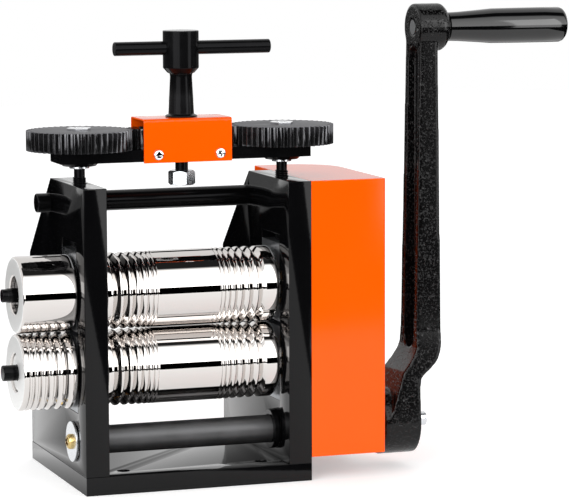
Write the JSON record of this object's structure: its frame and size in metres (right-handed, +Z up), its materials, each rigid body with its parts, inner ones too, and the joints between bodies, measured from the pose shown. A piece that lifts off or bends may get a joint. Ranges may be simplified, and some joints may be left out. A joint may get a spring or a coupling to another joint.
{
  "type": "jewellers rolling mill",
  "caption": "Hand cranked rolling mill that thins metal sheet and squares wire between grooved steel rolls, set by a tee handle over geared screws.",
  "frame": {"origin": "centre of the base plate's underside, on the bench", "axes": "+X along the rolls towards the crank, -Y towards the user at the front, +Z up"},
  "size_m": [0.364, 0.13, 0.2893],
  "materials": {
    "black_paint": "gloss black paint on machined cast iron plates",
    "orange_paint": "gloss orange powder coat on sheet steel",
    "polished_steel": "hardened steel, ground and mirror polished",
    "black_steel": "turned and milled steel, black oxide",
    "zinc_steel": "bright zinc plated steel",
    "yellow_zinc": "yellow zinc plated steel",
    "bronze": "plain bearing bronze",
    "gear_steel": "machined steel, oiled",
    "cast_enamel": "rough casting under semi gloss black enamel",
    "black_plastic": "moulded gloss black plastic"
  },
  "bodies": {
    "mill_frame": {"base_plate": "black_paint", "side_plate_left": "black_paint", "side_plate_right": "black_paint", "base_screw_left_front": "zinc_steel", "base_screw_left_rear": "zinc_steel", "base_screw_right_front": "zinc_steel", "base_screw_right_rear": "zinc_steel", "shaft_bush_left": "bronze", "shaft_bush_right": "bronze", "upper_tie_bar": "black_steel", "tie_bolt_left": "black_steel", "tie_bolt_right": "black_steel", "lower_block_left": "gear_steel", "lower_block_right": "gear_steel", "lower_bush_left": "bronze", "lower_bush_right": "bronze", "lift_spring_left_front": "zinc_steel", "lift_spring_left_rear": "zinc_steel", "lift_spring_right_front": "zinc_steel", "lift_spring_right_rear": "zinc_steel", "gear_cover": "orange_paint", "cover_post_upper": "zinc_steel", "cover_post_lower": "zinc_steel"},
    "crank": {"crank_shaft": "black_steel", "drive_pinion": "gear_steel", "shaft_collar": "black_steel", "shaft_end_washer": "zinc_steel", "shaft_end_screw": "yellow_zinc", "crank_arm": "cast_enamel", "crank_bolt": "zinc_steel", "handle_axle": "zinc_steel"},
    "grip": {"handle_grip": "black_plastic"},
    "lower_roll_set": {"lower_roll": "polished_steel", "lower_extension_roll": "polished_steel", "lower_extension_bolt": "black_steel", "lower_roll_gear": "gear_steel", "reduction_gear": "gear_steel"},
    "upper_chocks": {"upper_block_left": "gear_steel", "upper_block_right": "gear_steel", "upper_bush_left": "bronze", "upper_bush_right": "bronze"},
    "upper_roll_set": {"upper_roll": "polished_steel", "upper_extension_roll": "polished_steel", "upper_extension_bolt": "black_steel", "upper_roll_gear": "gear_steel"},
    "carrier": {"carrier_bar": "black_steel", "pinion_box": "orange_paint"},
    "tee_handle": {"tee_spindle": "black_steel", "tee_bar": "black_steel", "centre_pinion": "black_steel", "spindle_nut": "zinc_steel"},
    "idler_left": {"idler_pinion_left": "black_steel"},
    "idler_right": {"idler_pinion_right": "black_steel"},
    "screw_left": {"pressure_screw_left": "black_steel", "screw_gear_left": "black_steel", "gear_nut_left": "zinc_steel"},
    "screw_right": {"pressure_screw_right": "black_steel", "screw_gear_right": "black_steel", "gear_nut_right": "zinc_steel"}
  },
  "joints": [
    {"name": "crank_turn", "type": "hinge", "parent": "mill_frame", "child": "crank", "pos_m": [0, -0.0363, 0.02865], "axis": [1, 0, 0], "continuous": true},
    {"name": "grip_spin", "type": "hinge", "parent": "crank", "child": "grip", "pos_m": [0.2, -0.0363, 0.27465], "axis": [1, 0, 0], "continuous": true},
    {"name": "lower_roll_turn", "type": "hinge", "parent": "mill_frame", "child": "lower_roll_set", "pos_m": [0, -0.0308, 0.0718], "axis": [1, 0, 0], "continuous": true},
    {"name": "upper_roll_turn", "type": "hinge", "parent": "upper_chocks", "child": "upper_roll_set", "pos_m": [0, -0.0308, 0.1188], "axis": [1, 0, 0], "continuous": true},
    {"name": "chock_lift", "type": "slide", "parent": "mill_frame", "child": "upper_chocks", "axis": [0, 0, 1], "range_m": [0, 0.005], "deforming": ["lift_spring_left_front", "lift_spring_left_rear", "lift_spring_right_front", "lift_spring_right_rear"]},
    {"name": "carrier_lift", "type": "slide", "parent": "mill_frame", "child": "carrier", "axis": [0, 0, 1], "range_m": [0, 0.005]},
    {"name": "tee_turn", "type": "hinge", "parent": "carrier", "child": "tee_handle", "pos_m": [0, -0.0308, 0.24], "axis": [0, 0, 1], "range_deg": [0, 3920]},
    {"name": "idler_left_turn", "type": "hinge", "parent": "carrier", "child": "idler_left", "pos_m": [-0.0225, -0.0308, 0.211], "axis": [0, 0, 1], "range_deg": [-3920, 0]},
    {"name": "idler_right_turn", "type": "hinge", "parent": "carrier", "child": "idler_right", "pos_m": [0.0225, -0.0308, 0.211], "axis": [0, 0, 1], "range_deg": [-3920, 0]},
    {"name": "screw_left_turn", "type": "hinge", "parent": "carrier", "child": "screw_left", "pos_m": [-0.06438, -0.0308, 0.2], "axis": [0, 0, 1], "range_deg": [0, 1440]},
    {"name": "screw_right_turn", "type": "hinge", "parent": "carrier", "child": "screw_right", "pos_m": [0.06438, -0.0308, 0.2], "axis": [0, 0, 1], "range_deg": [0, 1440]}
  ],
  "couplings": [
    {"joint": "lower_roll_turn", "follows": "crank_turn", "ratio": -0.41463},
    {"joint": "upper_roll_turn", "follows": "crank_turn", "ratio": 0.41463},
    {"joint": "chock_lift", "follows": "carrier_lift", "ratio": 1},
    {"joint": "tee_turn", "follows": "carrier_lift", "rad_per_m": 13683},
    {"joint": "idler_left_turn", "follows": "carrier_lift", "rad_per_m": -13683},
    {"joint": "idler_right_turn", "follows": "carrier_lift", "rad_per_m": -13683},
    {"joint": "screw_left_turn", "follows": "carrier_lift", "rad_per_m": 5026.6},
    {"joint": "screw_right_turn", "follows": "carrier_lift", "rad_per_m": 5026.6}
  ]
}
